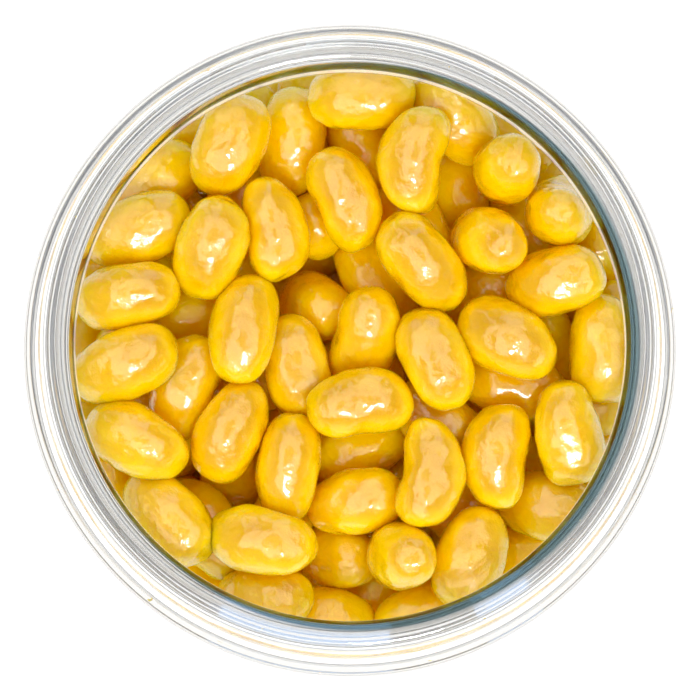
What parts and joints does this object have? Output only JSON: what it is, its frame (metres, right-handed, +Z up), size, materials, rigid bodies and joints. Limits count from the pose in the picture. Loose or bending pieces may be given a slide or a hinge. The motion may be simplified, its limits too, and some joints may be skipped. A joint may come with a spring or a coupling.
{
  "type": "jar of jelly beans",
  "caption": "Open clear glass jar with a rounded lip, filled nearly to the brim with plump yellow jelly beans.",
  "frame": {"origin": "on the jar's axis, at the level of its standing ring", "axes": "+Z up along the jar's axis, out of its mouth"},
  "size_m": [0.098, 0.098, 0.096],
  "materials": {
    "jar_glass": "clear, smooth",
    "bean_shell": "glossy sugar shell, slightly translucent"
  },
  "bodies": {
    "root": {"jar": "jar_glass", "beans": "bean_shell"}
  },
  "joints": []
}
